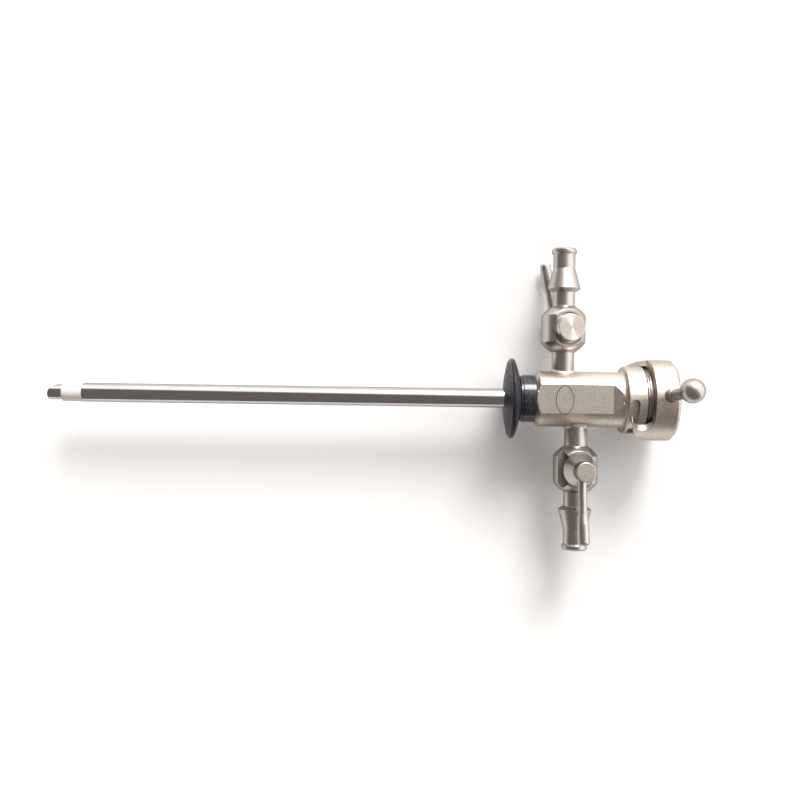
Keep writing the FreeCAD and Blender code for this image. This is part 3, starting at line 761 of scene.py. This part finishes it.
# %% Solder
SOLDER_RADIUS = 1.4
SOLDER_SINK = 0.08
SOLDER_STEPS = 9
BEAD_RADIUS = 0.22
BEAD_RISE = 0.12
BEAD_STEPS = 13
FULL_HUB_REACH = 12
hub_points = points_of("hub_body")
stem_radius = {}
for side in ("upper", "lower"):
    origin, _ = tap_axis[side]
    stem_points = points_of(side + "_stem") - origin
    stem_radius[side] = np.hypot(stem_points[:, 0], stem_points[:, 2]).max()
near_the_taps = np.abs(hub_points[:, 0] - tap_axis["upper"][0][0]) < FULL_HUB_REACH
hub_radius = np.hypot(hub_points[:, 1], hub_points[:, 2])[near_the_taps].max()


def solder_foot(side):
    """Round the stem by an angle, and up by t: out = r + f(1 - sin t), up = hub + f(1 - cos t). The
    last row is the inner corner, with t = 0 in up and t = 90 degrees in out, and it closes the ring."""
    origin, _ = tap_axis[side]
    toward = np.sign(origin[1])
    angle = np.linspace(0, 2 * np.pi, PARTS_OF_A_TURN, endpoint=False)[None, :]
    t = np.linspace(0, np.pi / 2, SOLDER_STEPS)
    t_out = np.append(t, np.pi / 2)[:, None]
    t_up = np.append(t, 0)[:, None]
    out = stem_radius[side] - SOLDER_SINK + SOLDER_RADIUS * (1 - np.sin(t_out))
    x, z = out * np.cos(angle), out * np.sin(angle)
    on_hub = np.sqrt(hub_radius ** 2 - z ** 2) - SOLDER_SINK
    y = toward * (on_hub + SOLDER_RADIUS * (1 - np.cos(t_up)))
    grid = np.stack([origin[0] + x, y, z], -1)
    piece = skin(side + "_stem_solder", grid, along=True)
    finish_piece(piece, matt_steel, "sheath")


def solder_bead(side, name, place):
    """A half-sunk ring of solder round a pipe: a small circle carried round the flow axis."""
    origin, _ = tap_axis[side]
    turn = np.linspace(0, 2 * np.pi, BEAD_STEPS)
    profile = np.stack([place + BEAD_RADIUS * np.cos(turn),
                        stem_radius[side] + BEAD_RISE + BEAD_RADIUS * np.sin(turn)], 1)
    grid = spin(profile, np.array([origin[0], 0.0, 0.0]), (0, np.sign(origin[1]), 0))
    finish_piece(skin(side + name, grid), satin_steel, "sheath")


for side in ("upper", "lower"):
    off_axis = np.abs(points_of(side + "_tap_body")[:, 1])
    body_low, body_high = off_axis.min(), off_axis.max()
    solder_foot(side)
    solder_bead(side, "_bead_hub_side", body_low)
    solder_bead(side, "_bead_nozzle_side", body_high)
    print(side, "ball from", round(body_low, 2), "to", round(body_high, 2), "mm off the tube's axis")

# %% [markdown]
# The hub's flat carries a plain oval, burnt on as a fine line. A low ridge follows an ellipse:
# across the line the height is a small hump whose sides dip under the surface, so the mark lies on
# the metal and nothing flickers where the two meet. A flat underside inside the hub closes it.

# %% Oval mark
MARK_CENTRE = (-46.3, -0.42)
MARK_HALF_LENGTH = 3.62
MARK_HALF_WIDTH = 5.82
MARK_LINE = 0.48
MARK_HEIGHT = 0.02
MARK_STEPS = 160
LINE_STEPS = 7
upper_heights = hub_points[hub_points[:, 2] > hub_radius / 2, 2]
heights, counts = np.unique(np.round(upper_heights, 3), return_counts=True)
flat_height = heights[counts.argmax()]


def make_mark():
    """Points at (a cos p, b sin p), moved along the ellipse's normal by w; height = h (1 - 2 w^2)."""
    p = np.linspace(0, 2 * np.pi, MARK_STEPS, endpoint=False)[:, None]
    w = np.linspace(-1, 1, LINE_STEPS)[None, :]
    normal_x, normal_y = MARK_HALF_WIDTH * np.cos(p), MARK_HALF_LENGTH * np.sin(p)
    size = np.hypot(normal_x, normal_y)
    x = MARK_CENTRE[0] + MARK_HALF_LENGTH * np.cos(p) + w * MARK_LINE / 2 * normal_x / size
    y = MARK_CENTRE[1] + MARK_HALF_WIDTH * np.sin(p) + w * MARK_LINE / 2 * normal_y / size
    z = flat_height + MARK_HEIGHT * (1 - 2 * w ** 2) + 0 * p
    grid = np.stack([x, y, z], -1).transpose(1, 0, 2)
    return skin("oval_mark", grid, along=True)


finish_piece(make_mark(), burnt_mark, "sheath")
print("flat at", round(flat_height, 2), "mm")
